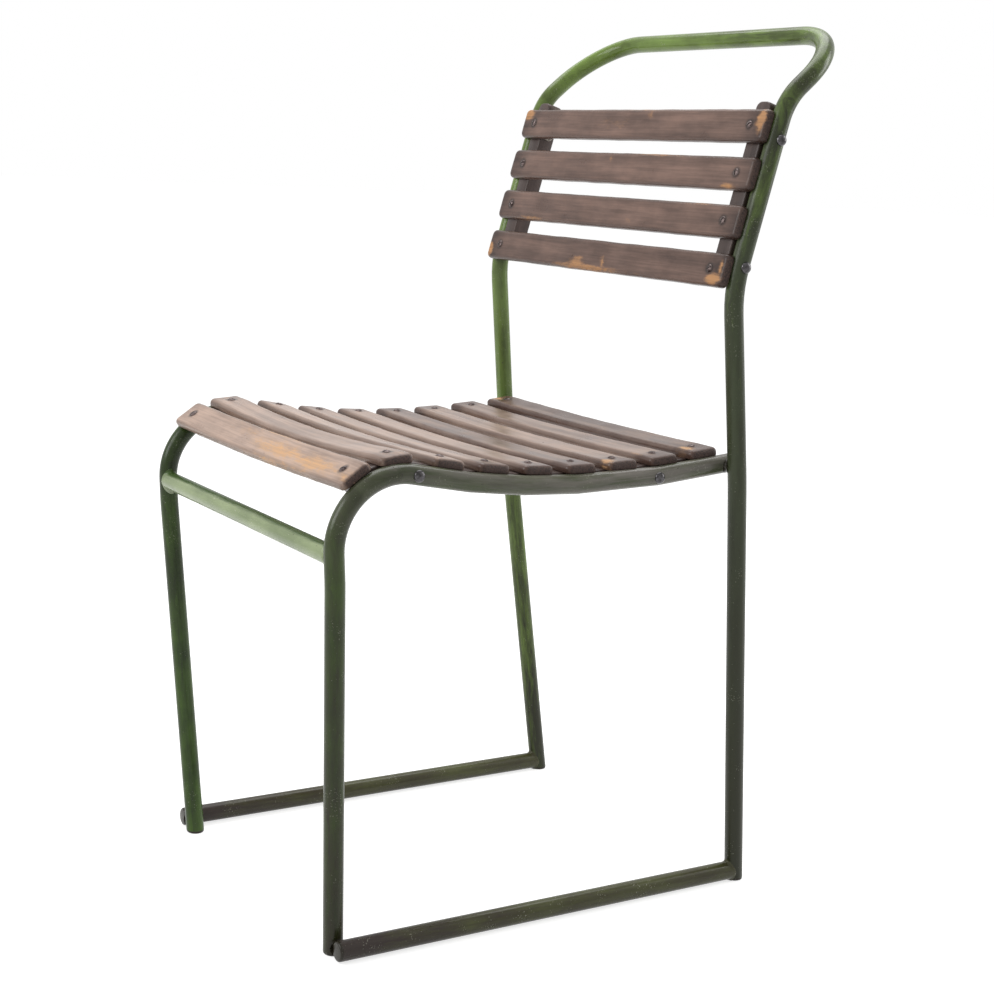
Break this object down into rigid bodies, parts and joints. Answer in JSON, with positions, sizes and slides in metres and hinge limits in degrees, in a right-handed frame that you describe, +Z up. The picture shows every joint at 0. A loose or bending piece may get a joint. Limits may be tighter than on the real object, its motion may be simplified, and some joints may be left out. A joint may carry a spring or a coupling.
{
  "type": "slatted side chair",
  "caption": "Stacking side chair: bent steel tube frame with two floor runners, dished seat and leaning back of wooden slats on curved battens.",
  "frame": {"origin": "on the floor, under the middle of the chair's overall bounding box", "axes": "+Z up; -Y is the way the sitter faces; +X is the sitter's left"},
  "size_m": [0.4572, 0.571, 0.8915],
  "materials": {
    "frame_paint": "worn gloss green paint with dark grime",
    "crossbar_paint": "worn gloss pale green paint",
    "weld": "painted over, rubbed grey",
    "end_plug": "painted over, rubbed and dirty",
    "seat_wood": "weathered, rubbed varnish",
    "back_wood": "dark weathered varnish",
    "batten_wood": "dark weathered varnish",
    "slat_screw": "dull, dirty",
    "bolt": "dark, polished at the top",
    "washer_nut": "dull zinc"
  },
  "bodies": {
    "root": {"back_batten_bolts": "bolt", "back_bolt_nuts": "washer_nut", "back_bolt_washers": "washer_nut", "back_slat_1": "back_wood", "back_slat_2": "back_wood", "back_slat_3": "back_wood", "back_slat_4": "back_wood", "back_slat_screws": "slat_screw", "crossbar_welds": "weld", "front_crossbar": "crossbar_paint", "left_back_batten": "batten_wood", "left_floor_runner": "frame_paint", "left_front_leg": "frame_paint", "left_seat_batten": "batten_wood", "leg_end_plugs": "end_plug", "rail_end_plugs": "end_plug", "rear_hoop": "frame_paint", "right_back_batten": "batten_wood", "right_floor_runner": "frame_paint", "right_front_leg": "frame_paint", "right_seat_batten": "batten_wood", "runner_end_plugs": "end_plug", "runner_front_welds": "weld", "runner_rear_welds": "weld", "seat_batten_bolts": "bolt", "seat_bolt_nuts": "washer_nut", "seat_bolt_washers": "washer_nut", "seat_rail_welds": "weld", "seat_slat_1": "seat_wood", "seat_slat_2": "seat_wood", "seat_slat_3": "seat_wood", "seat_slat_4": "seat_wood", "seat_slat_5": "seat_wood", "seat_slat_6": "seat_wood", "seat_slat_7": "seat_wood", "seat_slat_8": "seat_wood", "seat_slat_9": "seat_wood", "seat_slat_screws": "slat_screw"}
  },
  "joints": []
}
